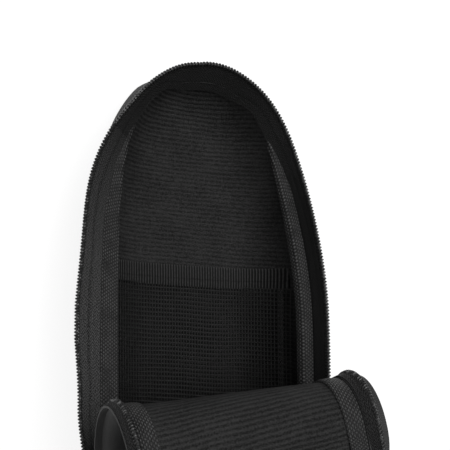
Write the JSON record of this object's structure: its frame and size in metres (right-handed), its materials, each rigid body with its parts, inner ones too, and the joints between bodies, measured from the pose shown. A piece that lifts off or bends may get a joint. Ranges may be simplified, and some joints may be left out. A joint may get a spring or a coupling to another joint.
{
  "type": "stethoscope hard case",
  "caption": "Zipped pod-shaped hard case for a stethoscope, open, its padded lid rolled down over the lower third; ribbed lining, mesh pocket, nylon coil zipper.",
  "frame": {"origin": "centre of the back's flat face, which the case lies on", "axes": "+Z out of the back panel towards the lid, +Y to the arched end, +X to the right seen from the front"},
  "size_m": [0.1535, 0.3397, 0.1385],
  "materials": {
    "nylon": "woven ballistic nylon, matt",
    "foam": "moulded foam board",
    "ribbed_lining": "ribbed padded lining",
    "binding": "woven edge binding",
    "mesh": "open square mesh",
    "elastic": "ribbed elastic band",
    "tape": "herringbone zipper tape",
    "coil": "nylon zipper coil",
    "slider": "black enamelled zinc"
  },
  "bodies": {
    "body": {"body_cover": "nylon", "body_core": "foam", "body_lining": "ribbed_lining", "body_binding": "binding", "body_tape": "tape", "body_coil": "coil", "stop_right": "slider", "pocket_mesh": "mesh", "pocket_band": "elastic", "heel_gusset": "nylon", "front_cover": "nylon", "front_core": "foam", "front_lining": "ribbed_lining", "front_binding": "binding", "front_border": "tape"},
    "loose_side": {"loose_tape": "tape", "loose_coil": "coil", "stop_left": "slider"},
    "board_1": {"fold_1_cover": "nylon", "fold_1_core": "foam", "fold_1_lining": "ribbed_lining", "fold_1_binding": "binding", "fold_1_border": "tape"},
    "board_2": {"fold_2_cover": "nylon", "fold_2_core": "foam", "fold_2_lining": "ribbed_lining", "fold_2_binding": "binding", "fold_2_border": "tape"},
    "board_3": {"fold_3_cover": "nylon", "fold_3_core": "foam", "fold_3_lining": "ribbed_lining", "fold_3_binding": "binding", "fold_3_border": "tape"},
    "board_4": {"fold_4_cover": "nylon", "fold_4_core": "foam", "fold_4_lining": "ribbed_lining", "fold_4_binding": "binding", "fold_4_border": "tape"},
    "board_5": {"fold_5_cover": "nylon", "fold_5_core": "foam", "fold_5_lining": "ribbed_lining", "fold_5_binding": "binding", "fold_5_border": "tape"},
    "flap": {"flap_cover": "nylon", "flap_core": "foam", "flap_lining": "ribbed_lining", "flap_binding": "binding", "flap_tape": "tape", "flap_coil": "coil"},
    "slider_right": {"slider_right": "slider"},
    "pull_right": {"pull_right": "slider"},
    "slider_left": {"slider_left": "slider"},
    "pull_left": {"pull_left": "slider"}
  },
  "joints": [
    {"name": "lid_fold_1", "type": "hinge", "parent": "body", "child": "board_1", "pos_m": [0.00468, -0.04451, 0.07], "axis": [0.9945, 0.1045, 0], "range_deg": [-30, 0]},
    {"name": "lid_fold_2", "type": "hinge", "parent": "board_1", "child": "board_2", "pos_m": [0.00365, -0.03469, 0.0757], "axis": [0.9945, 0.1045, 0], "range_deg": [-30, 0]},
    {"name": "lid_fold_3", "type": "hinge", "parent": "board_2", "child": "board_3", "pos_m": [0.00305, -0.02902, 0.08557], "axis": [0.9945, 0.1045, 0], "range_deg": [-30, 0]},
    {"name": "lid_fold_4", "type": "hinge", "parent": "board_3", "child": "board_4", "pos_m": [0.00305, -0.02902, 0.09697], "axis": [0.9945, 0.1045, 0], "range_deg": [-30, 0]},
    {"name": "lid_fold_5", "type": "hinge", "parent": "board_4", "child": "board_5", "pos_m": [0.00365, -0.03469, 0.10684], "axis": [0.9945, 0.1045, 0], "range_deg": [-30, 0]},
    {"name": "lid_fold_6", "type": "hinge", "parent": "board_5", "child": "flap", "pos_m": [0.00468, -0.04451, 0.11255], "axis": [0.9945, 0.1045, 0], "range_deg": [-30, 0]},
    {"name": "loose_tape_lift", "type": "hinge", "parent": "body", "child": "loose_side", "pos_m": [-0.0602, 0, 0.04725], "axis": [0, -1, 0], "range_deg": [-57, 0]},
    {"name": "slider_right_run", "type": "slide", "parent": "body", "child": "slider_right", "axis": [0, 1, 0], "range_m": [0, 0.054]},
    {"name": "pull_right_flip", "type": "hinge", "parent": "slider_right", "child": "pull_right", "pos_m": [0.06931, -0.068, 0.05459], "axis": [0.4226, 0, 0.9063], "range_deg": [0, 170]},
    {"name": "slider_left_run", "type": "slide", "parent": "loose_side", "child": "slider_left", "axis": [0, 1, 0], "range_m": [0, 0.054]},
    {"name": "pull_left_flip", "type": "hinge", "parent": "slider_left", "child": "pull_left", "pos_m": [-0.07132, -0.068, 0.04361], "axis": [0.9903, 0, -0.1392], "range_deg": [0, 170]}
  ]
}
